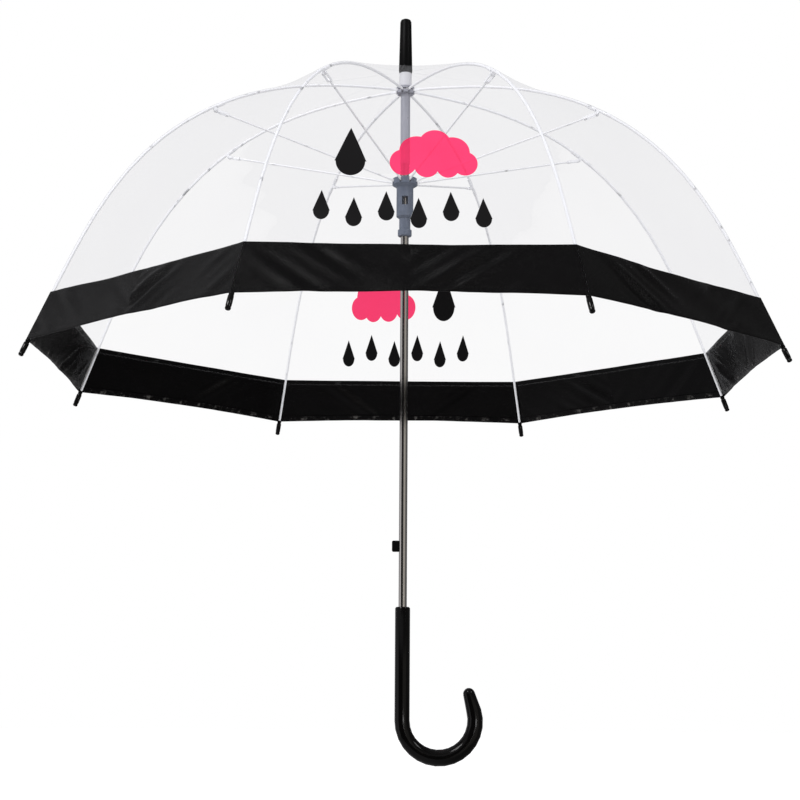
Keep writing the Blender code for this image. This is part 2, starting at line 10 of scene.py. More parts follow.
import bmesh
import bpy
import numpy as np
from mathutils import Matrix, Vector

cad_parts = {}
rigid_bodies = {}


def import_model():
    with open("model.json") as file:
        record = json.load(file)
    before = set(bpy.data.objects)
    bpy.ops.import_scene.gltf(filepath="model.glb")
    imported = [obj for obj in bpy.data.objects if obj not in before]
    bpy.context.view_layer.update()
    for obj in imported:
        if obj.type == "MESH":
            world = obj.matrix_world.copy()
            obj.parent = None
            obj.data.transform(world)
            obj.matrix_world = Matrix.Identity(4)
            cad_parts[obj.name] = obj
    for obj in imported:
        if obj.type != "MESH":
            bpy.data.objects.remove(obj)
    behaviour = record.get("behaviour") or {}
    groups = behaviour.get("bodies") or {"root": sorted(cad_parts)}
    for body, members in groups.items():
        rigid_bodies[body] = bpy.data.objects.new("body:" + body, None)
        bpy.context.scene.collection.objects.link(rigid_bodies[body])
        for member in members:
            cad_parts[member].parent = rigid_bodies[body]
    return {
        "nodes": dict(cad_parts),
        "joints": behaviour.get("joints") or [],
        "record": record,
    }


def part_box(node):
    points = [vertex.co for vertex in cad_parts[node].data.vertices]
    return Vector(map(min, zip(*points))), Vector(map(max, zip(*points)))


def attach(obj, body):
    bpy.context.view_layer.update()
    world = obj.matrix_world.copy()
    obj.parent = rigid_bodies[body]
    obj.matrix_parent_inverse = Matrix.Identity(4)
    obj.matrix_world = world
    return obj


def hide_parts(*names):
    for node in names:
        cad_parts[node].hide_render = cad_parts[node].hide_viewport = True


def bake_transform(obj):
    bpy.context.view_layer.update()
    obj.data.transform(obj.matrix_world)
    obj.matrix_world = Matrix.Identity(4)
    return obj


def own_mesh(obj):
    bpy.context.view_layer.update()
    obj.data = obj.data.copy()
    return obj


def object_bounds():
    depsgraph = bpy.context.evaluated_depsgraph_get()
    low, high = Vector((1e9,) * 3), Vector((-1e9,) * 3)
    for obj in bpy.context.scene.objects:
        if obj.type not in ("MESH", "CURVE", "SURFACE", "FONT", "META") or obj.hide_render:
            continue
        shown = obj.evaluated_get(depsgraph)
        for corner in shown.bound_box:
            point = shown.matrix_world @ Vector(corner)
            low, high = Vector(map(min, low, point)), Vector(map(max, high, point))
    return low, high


for left_over in list(bpy.data.objects):
    bpy.data.objects.remove(left_over, do_unlink=True)
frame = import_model()
CAD_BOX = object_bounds()
JOINTS = {joint["name"]: joint for joint in frame["joints"]}

MM = 0.001
RIB_COUNT = 8
SECTOR = math.tau / RIB_COUNT
FOLD = "fold"

# The rib's curve, as the CAD has it
RIB_LENGTH = 585 * MM
RIB_ROOT_SLOPE = math.radians(3)
RIB_TIP_SLOPE = math.radians(66)
RIB_BEND_SHARE = 0.85
FILM_OVER_RIB = 2.1 * MM

# Places along a rib, measured from the notch pivot
CROWN_ARC = 45 * MM
TOUCH_ARC = 130 * MM
FLEX_ARC = 237 * MM
BAND_START_ARC = 512 * MM
HEM_ARC = 569 * MM

# How the border is folded and joined to the film, and how finely the sheets are divided
WELD_OVERLAP = 6.2 * MM
TOP_FLAP = 4.5 * MM
HEM_FLAP = 7 * MM
FOLD_DEPTH = 0.6 * MM
BORDER_LIFT = 0.3 * MM
FILM_COLUMNS = 17
BORDER_COLUMNS = 45
BORDER_ROWS = 25


def height_of(node, end):
    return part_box(node)[end].z


def pivot_of(joint):
    place = Vector(JOINTS[joint]["pos_m"])
    return math.hypot(place.x, place.y), place.z


PIVOT_RADIUS, NOTCH_HEIGHT = pivot_of(FOLD)

# The film is held between the washer and the ferrule, and slopes down from them by at least this
CANOPY_TOP = (height_of("top_washer", 1) + height_of("ferrule", 0)) / 2
COLLAR_INNER = 5.2 * MM
COLLAR_OUTER = 7.6 * MM
LEAST_FALL = -0.12

RIB_SAMPLES = 2400
CROWN_SAMPLES = 300


# The canopy's profile over a rib: radius and height along the distance from the shaft


def rib_slope(arc):
    share = np.minimum(1.0, arc / (RIB_LENGTH * RIB_BEND_SHARE))
    eased = share * share * (3 - 2 * share)
    return RIB_ROOT_SLOPE + (RIB_TIP_SLOPE - RIB_ROOT_SLOPE) * eased


def rib_curve(offset):
    """(arc, radius, height) samples of the rib, moved outward by the offset."""
    arc = np.linspace(0, RIB_LENGTH, RIB_SAMPLES)
    slope = rib_slope(arc)
    step = arc[1]
    middle = rib_slope(arc[:-1] + step / 2)
    radius = PIVOT_RADIUS + np.concatenate([[0], np.cumsum(np.cos(middle) * step)])
    height = NOTCH_HEIGHT - np.concatenate([[0], np.cumsum(np.sin(middle) * step)])
    return arc, radius + np.sin(slope) * offset, height + np.cos(slope) * offset


def canopy_profile():
    """The film leaves its collar under the ferrule and comes down to the ribs in a gentle curve."""
    arc, radius, height = rib_curve(FILM_OVER_RIB)
    on_rib = arc >= TOUCH_ARC
    end_radius, end_height = radius[on_rib][0], height[on_rib][0]
    end_slope = -math.tan(rib_slope(np.array([TOUCH_ARC]))[0])
    share = np.linspace(0, 1, CROWN_SAMPLES)[1:-1]
    span = end_radius - COLLAR_OUTER
    start_slope = min(2 * (end_height - CANOPY_TOP) / span - end_slope, LEAST_FALL)
    rise = (
        CANOPY_TOP * (2 * share**3 - 3 * share**2 + 1)
        + span * start_slope * (share**3 - 2 * share**2 + share)
        + end_height * (3 * share**2 - 2 * share**3)
        + span * end_slope * (share**3 - share**2)
    )
    all_radius = np.concatenate(
        [[COLLAR_INNER, COLLAR_OUTER], COLLAR_OUTER + span * share, radius[on_rib]]
    )
    all_height = np.concatenate([[CANOPY_TOP, CANOPY_TOP], rise, height[on_rib]])
    steps = np.hypot(np.diff(all_radius), np.diff(all_height))
    distance = np.concatenate([[0], np.cumsum(steps)])
    rib_start = distance[np.searchsorted(all_radius, end_radius)]
    return distance, all_radius, all_height, rib_start


DISTANCE, RADIUS, HEIGHT, TOUCH_DISTANCE = canopy_profile()


def distance_at(arc):
    """How far down the canopy's profile a place on the rib is."""
    if arc >= TOUCH_ARC:
        return TOUCH_DISTANCE + arc - TOUCH_ARC
    radius = np.interp(arc, *rib_curve(0.0)[:2])
    return float(np.interp(radius, RADIUS, DISTANCE))


BAND_START = distance_at(BAND_START_ARC)
HEM = distance_at(HEM_ARC)


def rib_azimuth(index):
    return SECTOR * (index + 0.5)


def outward_of(rib):
    return Vector((math.cos(rib_azimuth(rib)), math.sin(rib_azimuth(rib)), 0))


def rib_place(rib, arc):
    """The rib's centre at this distance along it."""
    arcs, radius, height = rib_curve(0.0)
    up = Vector((0, 0, float(np.interp(arc, arcs, height))))
    return outward_of(rib) * float(np.interp(arc, arcs, radius)) + up


def gore_beside(rib, side):
    """The gore on this side of a rib. Gore 0 lies between ribs 0 and 1."""
    return rib if side > 0 else (rib - 1) % RIB_COUNT


def gore_axes(gore):
    """(outward, along) unit vectors of the gore between this rib and the next."""
    middle = rib_azimuth(gore) + SECTOR / 2
    return (
        np.array([math.cos(middle), math.sin(middle), 0.0]),
        np.array([-math.sin(middle), math.cos(middle), 0.0]),
    )


def smooth_step(low, high, value):
    share = np.clip((value - low) / (high - low), 0, 1)
    return share * share * (3 - 2 * share)


# The sheet's slack: the hollow between two ribs, shallow puckers, and folds dragged across the border
HOLLOW_DEPTH = 5.5 * MM
PUCKER_DEPTH = 0.30 * MM
MORE_PUCKER_NEAR_BAND = 0.45 * MM
DRAG_FOLD_DEPTH = 1.25 * MM
DRAG_LEAN = 0.8
HEM_RISE = 3.0 * MM
PROFILE_NUDGE = 0.5 * MM


def puckers(place, down, across, phase):
    """Long shallow waves and finer slanted ones. Each gore has its own phase."""
    long_waves = np.sin(down / (21 * MM) + 2.8 * np.abs(across) + phase)
    long_waves *= np.sin(place / (26 * MM) + 2.3 * phase)
    return long_waves + 0.6 * np.sin(down / (9 * MM) - place / (17 * MM) + 4.1 * phase)


def drag_folds(place, down, phase):
    """Slanted folds that come and go along the border and fade towards its hem."""
    leaning = down - BAND_START + DRAG_LEAN * np.abs(place)
    folds = np.sin(leaning / (6.3 * MM) + phase) + 0.8 * np.sin(leaning / (3.7 * MM) + 3 * phase)
    patch = 0.5 + 0.5 * np.sin(place / (23 * MM) + 2.9 * phase)
    in_band = smooth_step(BAND_START - 4 * MM, BAND_START + 14 * MM, down)
    in_band = in_band * (1 - 0.75 * smooth_step(HEM - 12 * MM, HEM, down))
    return in_band * patch * folds


def slack(gore, across, down):
    """How far the sheet stands in from the flat gore."""
    free = 1 - across**2
    phase = 1.7 * gore
    place = across * np.interp(down, DISTANCE, RADIUS) * math.sin(SECTOR / 2)
    near_band = smooth_step(BAND_START - 70 * MM, BAND_START, down)
    pucker_depth = PUCKER_DEPTH + MORE_PUCKER_NEAR_BAND * near_band
    folds = pucker_depth * puckers(place, down, across, phase)
    folds += DRAG_FOLD_DEPTH * drag_folds(place, down, phase)
    hollow = HOLLOW_DEPTH * free * np.sin(math.pi * np.clip(down / HEM, 0, 1)) ** 0.8
    return hollow + folds * free**0.5


def profile_step(down, nudge):
    """(radius gained, height lost) of the canopy's profile from a nudge before here to one after."""
    before, after = down - nudge, down + nudge
    run = np.interp(after, DISTANCE, RADIUS) - np.interp(before, DISTANCE, RADIUS)
    fall = np.interp(before, DISTANCE, HEIGHT) - np.interp(after, DISTANCE, HEIGHT)
    return run, fall


def canopy_points(gore, across, down, lift):
    """Points of the sheet. across runs from -1 at the gore's first rib to 1 at the next one."""
    outward, along = gore_axes(gore)
    upward = np.array([0, 0, 1.0])
    place = down - HEM_RISE * smooth_step(BAND_START, HEM, down) * (1 - across**2)
    radius = np.interp(place, DISTANCE, RADIUS)
    height = np.interp(place, DISTANCE, HEIGHT)
    run, fall = profile_step(place, PROFILE_NUDGE)
    run = run * math.cos(SECTOR / 2)
    length = np.hypot(run, fall)
    normal = (fall / length)[..., None] * outward + (run / length)[..., None] * upward
    middle = (radius * math.cos(SECTOR / 2))[..., None] * outward
    side = (across * radius * math.sin(SECTOR / 2))[..., None] * along
    above = height[..., None] * upward
    return middle + side + above + (lift - slack(gore, across, down))[..., None] * normal


# Materials


class Shade:
    """Builds the nodes of a material or a world. An input takes a value or another node's output."""

    def __init__(self, owner):
        owner.use_nodes = True
        self.owner = owner
        self.tree = owner.node_tree
        self.tree.nodes.clear()

    def add(self, kind, inputs=None, output=0, **settings):
        made = self.tree.nodes.new(kind)
        for key, value in settings.items():
            setattr(made, key, value)
        for key, value in (inputs or {}).items():
            if isinstance(value, bpy.types.NodeSocket):
                self.tree.links.new(value, made.inputs[key])
            else:
                made.inputs[key].default_value = value
        return made.outputs[output] if made.outputs else None

    def math(self, operation, first, second=0.0, clamp=False):
        return self.add(
            "ShaderNodeMath", {0: first, 1: second}, operation=operation, use_clamp=clamp
        )

    def ramp(self, value, low, high):
        """0 below low and 1 above high, or the other way round when low is the larger."""
        return self.add(
            "ShaderNodeMapRange", {"Value": value, "From Min": low, "From Max": high},
            interpolation_type="SMOOTHSTEP",
        )

    def mix(self, share, first, second):
        made = self.tree.nodes.new("ShaderNodeMix")
        made.data_type = "RGBA"
        for index, value in ((0, share), (6, first), (7, second)):
            if isinstance(value, bpy.types.NodeSocket):
                self.tree.links.new(value, made.inputs[index])
            else:
                made.inputs[index].default_value = value
        return made.outputs[2]

    def noise(self, vector, scale, detail=3.0, roughness=0.5):
        return self.add(
            "ShaderNodeTexNoise",
            {"Vector": vector, "Scale": scale, "Detail": detail, "Roughness": roughness},
        )

    def stretched(self, vector, scale):
        return self.add("ShaderNodeMapping", {"Vector": vector, "Scale": scale})

    def bump(self, height, strength, distance, normal=None):
        inputs = {"Height": height, "Strength": strength, "Distance": distance}
        if normal is not None:
            inputs["Normal"] = normal
        return self.add("ShaderNodeBump", inputs)

    def principled(self, **inputs):
        named = {key.replace("_", " "): value for key, value in inputs.items()}
        return self.add("ShaderNodeBsdfPrincipled", named)

    def split(self, vector):
        """The X, Y and Z outputs of a vector."""
        made = self.tree.nodes.new("ShaderNodeSeparateXYZ")
        self.tree.links.new(vector, made.inputs[0])
        return made.outputs["X"], made.outputs["Y"], made.outputs["Z"]

    def between(self, value, low, high):
        """A value from 0 to 1, spread over the range from low to high."""
        return self.add("ShaderNodeMapRange", {"Value": value, "To Min": low, "To Max": high})

    def finish(self, surface):
        self.add("ShaderNodeOutputMaterial", {"Surface": surface})
        return self.owner


def new_shade(name):
    return Shade(bpy.data.materials.new(name))


def object_place(shade):
    return shade.add("ShaderNodeTexCoord", output="Object")


def gloss_black():
    """Polished black moulded plastic, with faint flow marks and handling haze."""
    shade = new_shade("gloss_black")
    place = object_place(shade)
    haze = shade.noise(place, 60, 5, 0.6)
    marks = shade.noise(shade.stretched(place, (900, 900, 40)), 1.0, 2)
    surface = shade.principled(
        Base_Color=shade.mix(haze, (0.001, 0.001, 0.001, 1), (0.003, 0.0025, 0.0025, 1)),
        Roughness=shade.between(haze, 0.08, 0.18), Specular_IOR_Level=0.2,
        Normal=shade.bump(marks, 0.03, 0.1 * MM),
    )
    return shade.finish(surface)


def satin_black():
    """Moulded black plastic with a fine grain and uneven polish."""
    shade = new_shade("satin_black")
    place = object_place(shade)
    grain = shade.noise(place, 2600, 2)
    patches = shade.noise(place, 90, 4)
    surface = shade.principled(
        Base_Color=shade.mix(patches, (0.001, 0.001, 0.001, 1), (0.003, 0.0027, 0.003, 1)),
        Specular_IOR_Level=0.06,
        Roughness=shade.between(patches, 0.32, 0.5),
        Normal=shade.bump(grain, 0.25, 0.05 * MM),
    )
    return shade.finish(surface)


def steel():
    """Drawn bright steel: long fine scratches along the tube."""
    shade = new_shade("steel")
    place = object_place(shade)
    drawn = shade.noise(shade.stretched(place, (900, 900, 6)), 1.0, 2, 0.5)
    tarnish = shade.noise(place, 25, 4, 0.6)
    surface = shade.principled(
        Base_Color=shade.mix(tarnish, (0.62, 0.60, 0.58, 1), (0.50, 0.48, 0.47, 1)),
        Metallic=1.0,
        Roughness=shade.between(drawn, 0.08, 0.16),
        Normal=shade.bump(drawn, 0.06, 0.02 * MM),
    )
    return shade.finish(surface)


def white_metal():
    """Pale enamelled wire of the ribs and stretchers, a little worn to the metal."""
    shade = new_shade("white_metal")
    place = object_place(shade)
    worn = shade.noise(place, 220, 4, 0.65)
    chips = shade.ramp(shade.noise(place, 90, 2, 0.5), 0.62, 0.70)
    surface = shade.principled(
        Base_Color=shade.mix(worn, (0.90, 0.90, 0.92, 1), (0.78, 0.79, 0.82, 1)),
        Metallic=shade.math("MULTIPLY", chips, 0.7),
        Roughness=shade.between(worn, 0.34, 0.5),
        Normal=shade.bump(worn, 0.05, 0.05 * MM),
    )
    return shade.finish(surface)


def moulded_translucent(name, light, dark, through):
    """Cloudy moulded plastic that lets some light through."""
    shade = new_shade(name)
    place = object_place(shade)
    cloud = shade.noise(place, 140, 4, 0.6)
    surface = shade.principled(
        Base_Color=shade.mix(cloud, light, dark),
        Roughness=shade.between(cloud, 0.22, 0.42),
        Transmission_Weight=through, IOR=1.46,
        Normal=shade.bump(shade.noise(place, 900, 2), 0.12, 0.05 * MM),
    )
    return shade.finish(surface)


UV_SHEET = "sheet"


def sheet_place(shade):
    """(vector, across, down) in metres on the canopy: across is from the gore's middle line."""
    vector = shade.add("ShaderNodeUVMap", uv_map=UV_SHEET)
    across, down, _ = shade.split(vector)
    return vector, across, down


def rib_distance(shade):
    """Distance across the gore from its nearest rib, stored with the mesh."""
    return shade.add("ShaderNodeAttribute", attribute_name="to_rib", output="Fac")


def disc(shade, across, down, centre, radius):
    """Signed distance to a printed disc, negative inside it."""
    dx = shade.math("SUBTRACT", across, centre[0])
    dy = shade.math("SUBTRACT", down, centre[1])
    squares = shade.math("ADD", shade.math("MULTIPLY", dx, dx), shade.math("MULTIPLY", dy, dy))
    return shade.math("SUBTRACT", shade.math("SQRT", squares), radius)


# The direction that a drop's straight side faces: across, and up the gore
DROP_SIDE_FACES = (0.92, 0.39)


def drop(shade, across, down, centre, radius):
    """Signed distance to a rain drop: a disc whose upper side is drawn out to a point."""
    dx = shade.math("ABSOLUTE", shade.math("SUBTRACT", across, centre[0]))
    dy = shade.math("SUBTRACT", centre[1], down)
    round_part = disc(shade, across, down, centre, radius)
    sideways = shade.math("MULTIPLY", dx, DROP_SIDE_FACES[0])
    upward = shade.math("MULTIPLY", dy, DROP_SIDE_FACES[1])
    side = shade.math("SUBTRACT", shade.math("ADD", sideways, upward), radius)
    point = shade.math("MAXIMUM", side, shade.math("MULTIPLY", dy, -1.0))
    return shade.math("MINIMUM", round_part, point)


def join(shade, shapes):
    joined = shapes[0]
    for shape in shapes[1:]:
        joined = shade.math("MINIMUM", joined, shape)
    return joined


# The print's shapes, as (across, down the rib, radius) in millimetres
CLOUD = (
    (-6, 410, 13), (7, 395, 17), (24, 383, 15), (40, 397, 17),
    (52, 412, 12), (16, 414, 12), (36, 416, 11),
)
BIG_DROP = ((-56, 410, 14),)
SMALL_DROPS = tuple((-82 + 30 * step, 474 + 8 * (step % 2), 7.5) for step in range(6))
PRINT_STRETCH = 1.35
PRINT_EDGE = 0.2 * MM


def print_masks(shade, across, down):
    """(pink share, black share) of the print: a cloud with rain round it, drawn out down the gore."""
    tall = shade.math("DIVIDE", down, PRINT_STRETCH)

    def union(form, spots):
        places = [((x * MM, distance_at(y * MM) / PRINT_STRETCH), size * MM) for x, y, size in spots]
        return join(shade, [form(shade, across, tall, place, size) for place, size in places])

    cloud = union(disc, CLOUD)
    rain = union(drop, BIG_DROP + SMALL_DROPS)
    return shade.ramp(cloud, PRINT_EDGE, -PRINT_EDGE), shade.ramp(rain, PRINT_EDGE, -PRINT_EDGE)


def film(printed):
    """Clear film with a welded seam on each rib, soft creases and, on two gores, the print."""
    shade = new_shade("film_printed" if printed else "film")
    vector, across, down = sheet_place(shade)
    seam = shade.ramp(rib_distance(shade), 2.6 * MM, 1.9 * MM)
    crease = shade.noise(vector, 22, 3, 0.5)
    ripple = shade.noise(shade.stretched(vector, (12, 48, 1)), 1.0, 2, 0.5)
    normal = shade.bump(crease, 0.15, 1.2 * MM, shade.bump(ripple, 0.12, 1.0 * MM))
    cloudy = shade.noise(vector, 9, 4, 0.6)
    milk = shade.between(cloudy, 0.008, 0.026)
    rim = shade.add("ShaderNodeFresnel", {"IOR": 1.38, "Normal": normal})
    cover = shade.math("ADD", milk, shade.math("MULTIPLY", rim, 0.05))
    cover = shade.math("ADD", cover, shade.math("MULTIPLY", seam, 0.04), clamp=True)
    tint = shade.mix(cloudy, (0.968, 0.967, 0.970, 1), (0.950, 0.948, 0.953, 1))
    tint = shade.mix(shade.math("MULTIPLY", rim, 0.25), tint, (0.84, 0.84, 0.86, 1))
    tint = shade.mix(seam, tint, (0.93, 0.93, 0.94, 1))
    color = (0.88, 0.885, 0.90, 1)
    rough = 0.2
    if printed:
        pink, black = print_masks(shade, across, down)
        tone = shade.noise(vector, 22, 3, 0.5)
        red = shade.mix(tone, (0.98, 0.030, 0.12, 1), (0.99, 0.06, 0.19, 1))
        color = shade.mix(pink, color, red)
        color = shade.mix(black, color, (0.003, 0.0025, 0.003, 1))
        tint = shade.mix(pink, tint, (0.98, 0.060, 0.18, 1))
        ink = shade.math("MAXIMUM", pink, black)
        rough = shade.between(ink, 0.2, 0.42)
        hide = shade.math("ADD", shade.math("MULTIPLY", pink, 0.50), black)
        cover = shade.math("MAXIMUM", cover, hide)
    coat = shade.principled(
        Base_Color=color, Roughness=rough, Specular_IOR_Level=0.2, Normal=normal, IOR=1.45
    )
    clear = shade.add("ShaderNodeBsdfTransparent", {"Color": tint})
    surface = shade.add("ShaderNodeMixShader", {0: cover, 1: clear, 2: coat})
    return shade.finish(surface)


def threads(shade, vector):
    return shade.add(
        "ShaderNodeTexWave", {"Vector": vector, "Scale": 620, "Distortion": 0.6},
        wave_type="BANDS", bands_direction="DIAGONAL",
    )


# The hem's stitches
STITCH_HEIGHT = 6 * MM
STITCH_PITCH = 3 * MM


def border():
    """The black border: satin sheet with a fine weave, a stitched hem and, on its folded edge, painted
    glints: patches of lighter base colour that stand in for caught light.
    """
    shade = new_shade("border")
    vector, across, down = sheet_place(shade)
    mirrored = shade.stretched(vector, (-1, 1, 1))
    weave = shade.math("MULTIPLY", threads(shade, vector), threads(shade, mirrored))
    soft = shade.noise(shade.stretched(vector, (1.0, 1.6, 1.0)), 26, 5, 0.6)
    tone = shade.noise(vector, 70, 3, 0.6)
    from_line = shade.math("SUBTRACT", HEM - STITCH_HEIGHT, down)
    line = shade.ramp(shade.math("ABSOLUTE", from_line), 0.7 * MM, 0.3 * MM)
    along_line = shade.math("MULTIPLY", across, math.tau / STITCH_PITCH)
    stitch = shade.math("MULTIPLY", line, shade.ramp(shade.math("SINE", along_line), -0.3, 0.3))
    height = shade.math("ADD", shade.math("MULTIPLY", weave, 0.25), shade.math("MULTIPLY", soft, 2.0))
    height = shade.math("ADD", height, shade.math("MULTIPLY", stitch, 0.8))
    normal = shade.bump(height, 0.5, 0.7 * MM)
    black = shade.mix(tone, (0.0010, 0.0009, 0.0010, 1), (0.0026, 0.0022, 0.0025, 1))
    # Painted glints: on the hem flap that is turned in, noisy patches of a lighter base colour stand in
    # for light caught along the folded edge.
    turned_in = shade.add("ShaderNodeAttribute", attribute_name="turned_in", output="Fac")
    patches = shade.ramp(shade.noise(vector, 75, 4, 0.75), 0.52, 0.68)
    painted_glint = shade.math("MULTIPLY", shade.math("MULTIPLY", turned_in, patches), 0.45)
    surface = shade.principled(
        Base_Color=shade.mix(painted_glint, black, (0.20, 0.19, 0.18, 1)),
        Roughness=shade.between(soft, 0.18, 0.28),
        Specular_IOR_Level=0.11, Normal=normal,
    )
    return shade.finish(surface)


# Canopy pieces


def grid_mesh(name, points, place, to_rib, turned_in):
    """A sheet from a grid of points. Its flat place in metres becomes its UVs."""
    rows, columns = points.shape[:2]
    index = np.arange(rows * columns).reshape(rows, columns)
    quads = np.stack(
        [index[:-1, :-1], index[1:, :-1], index[1:, 1:], index[:-1, 1:]], axis=-1
    ).reshape(-1, 4)
    flat = points.reshape(-1, 3)
    first = flat[quads[0]]
    normal = np.cross(first[1] - first[0], first[3] - first[0])
    if normal[2] < 0:
        quads = quads[:, ::-1]
    mesh = bpy.data.meshes.new(name)
    mesh.from_pydata(flat.tolist(), [], quads.tolist())
    mesh.polygons.foreach_set("use_smooth", [True] * len(mesh.polygons))
    layer = mesh.uv_layers.new(name=UV_SHEET)
    corners = np.empty(len(mesh.loops), np.int64)
    mesh.loops.foreach_get("vertex_index", corners)
    layer.data.foreach_set("uv", place.reshape(-1, 2)[corners].ravel())
    for label, values in (("to_rib", to_rib), ("turned_in", turned_in)):
        stored = mesh.attributes.new(label, "FLOAT", "POINT")
        stored.data.foreach_set("value", values.ravel().astype(np.float32))
    return mesh


def film_rows(low, high, count):
    """(distance, lift) of each row. The film dips under the border where the two are welded."""
    down = np.linspace(low, high, count)
    return down, -0.35 * MM * smooth_step(BAND_START - 6 * MM, BAND_START - 1 * MM, down)


def border_rows():
    """The border's rows: a flap folded in at its top, the outer face, and the hem folded up inside."""
    top = BAND_START + np.array([TOP_FLAP, TOP_FLAP / 2, 0, -0.25 * MM])
    hem = HEM + np.array([0.25 * MM, 0, -HEM_FLAP / 2, -HEM_FLAP])
    face = np.linspace(BAND_START, HEM, BORDER_ROWS)
    fold = np.array([-FOLD_DEPTH, -FOLD_DEPTH, -FOLD_DEPTH, 0])
    lift = np.concatenate([fold, np.full(BORDER_ROWS, BORDER_LIFT), fold[::-1]])
    return np.concatenate([top, face, hem]), lift


def strip(name, rib, side, rows, columns, look):
    """(the sheet from a rib to the middle of the gore beside it, its flat width, length and area)"""
    row_down, row_lift = rows
    down, share = np.meshgrid(row_down, np.linspace(0, 1, columns), indexing="ij")
    lift = np.broadcast_to(row_lift[:, None], down.shape)
    across = -side * (1 - share)
    points = canopy_points(gore_beside(rib, side), across, down, lift)
    width = np.interp(down, DISTANCE, RADIUS) * math.sin(SECTOR / 2)
    turned_in = ((lift < 0) & (down > HEM - HEM_FLAP * 0.9)).astype(float)
    place = np.stack([across * width, down], axis=-1)
    mesh = grid_mesh(name, points, place, share * width, turned_in)
    mesh.materials.append(look)
    made = bpy.data.objects.new(name, mesh)
    bpy.context.scene.collection.objects.link(made)
    length = float(np.abs(np.diff(row_down)).sum())
    places = np.linspace(row_down.min(), row_down.max(), 9)
    mean_width = float(np.interp(places, DISTANCE, RADIUS).mean()) * math.sin(SECTOR / 2)
    return made, (float(width.max()), length, mean_width * length)


def gather(piece):
    """Gives the strip its own copy of its mesh."""
    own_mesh(piece)


LOOKS = {
    "gloss_black": gloss_black(),
    "satin_black": satin_black(),
    "steel": steel(),
    "white_metal": white_metal(),
    "smoke": moulded_translucent("smoke", (0.19, 0.22, 0.29, 1), (0.08, 0.10, 0.145, 1), 0.2),
    "smoke_light": moulded_translucent(
        "smoke_light", (0.46, 0.46, 0.52, 1), (0.34, 0.35, 0.41, 1), 0.25
    ),
    "milky": moulded_translucent("milky", (0.90, 0.90, 0.93, 1), (0.76, 0.76, 0.81, 1), 0.3),
    "film": film(False),
    "film_printed": film(True),
    "border": border(),
}

# Gores that carry the print: one at the front (-Y) and one at the back (+Y)
PRINTED_GORES = (1, 5)
SIDE_NAMES = {1: "left", -1: "right"}

# Each film strip: the rib part it rides on, where it starts and ends down the canopy, its rows, and
# the share of its width that stays when the ribs are folded
SHOULDER = distance_at(CROWN_ARC + (FLEX_ARC - CROWN_ARC) / 2)
FLEX = distance_at(FLEX_ARC)
THIRD = (BAND_START - FLEX) / 3
FILM_PARTS = (
    ("crown", None, 0.0, distance_at(CROWN_ARC), 14, 1.0),
    ("upper", "inner", distance_at(CROWN_ARC), SHOULDER, 12, 0.22),
    ("shoulder", "inner", SHOULDER, FLEX, 12, 0.18),
    ("middle", "outer", FLEX, FLEX + THIRD, 14, 0.15),
    ("side", "outer", FLEX + THIRD, FLEX + 2 * THIRD, 14, 0.12),
    ("lower", "outer", FLEX + 2 * THIRD, BAND_START + WELD_OVERLAP, 14, 0.10),
)


def film_strip(part, rib_part, low, high, rows, keep, rib, side):
    """One strip of film. The crown stays where it is built, and the others ride on a rib."""
    label = str(rib + 1)
    look = LOOKS["film_printed" if gore_beside(rib, side) in PRINTED_GORES else "film"]
    name = "film_%s_%s_%s" % (part, label, SIDE_NAMES[side])
    piece, flat = strip(name, rib, side, film_rows(low, high, rows), FILM_COLUMNS, look)
    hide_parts("canopy_film_" + label)
    if rib_part is None:
        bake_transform(piece)
    else:
        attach(piece, "rib_%s_%s" % (label, rib_part))
        gather(piece)


def border_strip(rib, side):
    label = str(rib + 1)
    name = "border_%s_%s" % (label, SIDE_NAMES[side])
    piece, flat = strip(name, rib, side, border_rows(), BORDER_COLUMNS, LOOKS["border"])
    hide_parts("canopy_band_" + label)
    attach(piece, "rib_%s_outer" % label)
    gather(piece)


SLEEVE_SIDES = 16


def rib_sleeve(name, rib, arcs, radii, look):
    """A short round sleeve that follows the rib: one ring of this radius at each place along it."""
    outward = np.array(outward_of(rib))
    along = np.array([-outward[1], outward[0], 0.0])
    turns = math.tau * np.arange(SLEEVE_SIDES) / SLEEVE_SIDES
    work = bmesh.new()
    rings = []
    for arc, radius in zip(arcs, radii):
        slope = float(rib_slope(np.array([arc]))[0])
        normal = math.sin(slope) * outward + math.cos(slope) * np.array([0, 0, 1.0])
        circle = np.outer(np.cos(turns), normal) + np.outer(np.sin(turns), along)
        points = np.array(rib_place(rib, arc)) + radius * circle
        rings.append([work.verts.new(point) for point in points])
    for first, second in zip(rings, rings[1:]):
        for step in range(SLEEVE_SIDES):
            following = (step + 1) % SLEEVE_SIDES
            work.faces.new((first[step], first[following], second[following], second[step]))
    for ring in (rings[0], rings[-1]):
        work.faces.new(ring)
    bmesh.ops.recalc_face_normals(work, faces=work.faces)
    mesh = bpy.data.meshes.new(name)
    work.to_mesh(mesh)
    work.free()
    mesh.polygons.foreach_set("use_smooth", [True] * len(mesh.polygons))
    mesh.set_sharp_from_angle(angle=math.radians(40))
    mesh.materials.append(look)
    made = bpy.data.objects.new(name, mesh)
    bpy.context.scene.collection.objects.link(made)
    return made


def rib_splice(rib):
    """The sleeve over the gap between a rib's two lengths."""
    label = str(rib + 1)
    arcs = np.array([-5, -4.4, 4.4, 5]) * MM + FLEX_ARC
    radii = np.array([1.6, 1.85, 1.85, 1.6]) * MM
    look = LOOKS["white_metal"]
    sleeve = rib_sleeve("rib_splice_" + label, rib, arcs, radii, look)
    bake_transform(sleeve)


def hem_tie(rib):
    """The binding that holds the hem to a rib beside its tip."""
    label = str(rib + 1)
    arcs = HEM_ARC + np.array([-4, -3.4, -1, 0.2, 0.6]) * MM
    radii = np.array([1.8, 2.4, 2.6, 2.2, 1.7]) * MM
    tie = rib_sleeve("hem_tie_" + label, rib, arcs, radii, LOOKS["border"])
    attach(tie, "rib_%s_outer" % label)


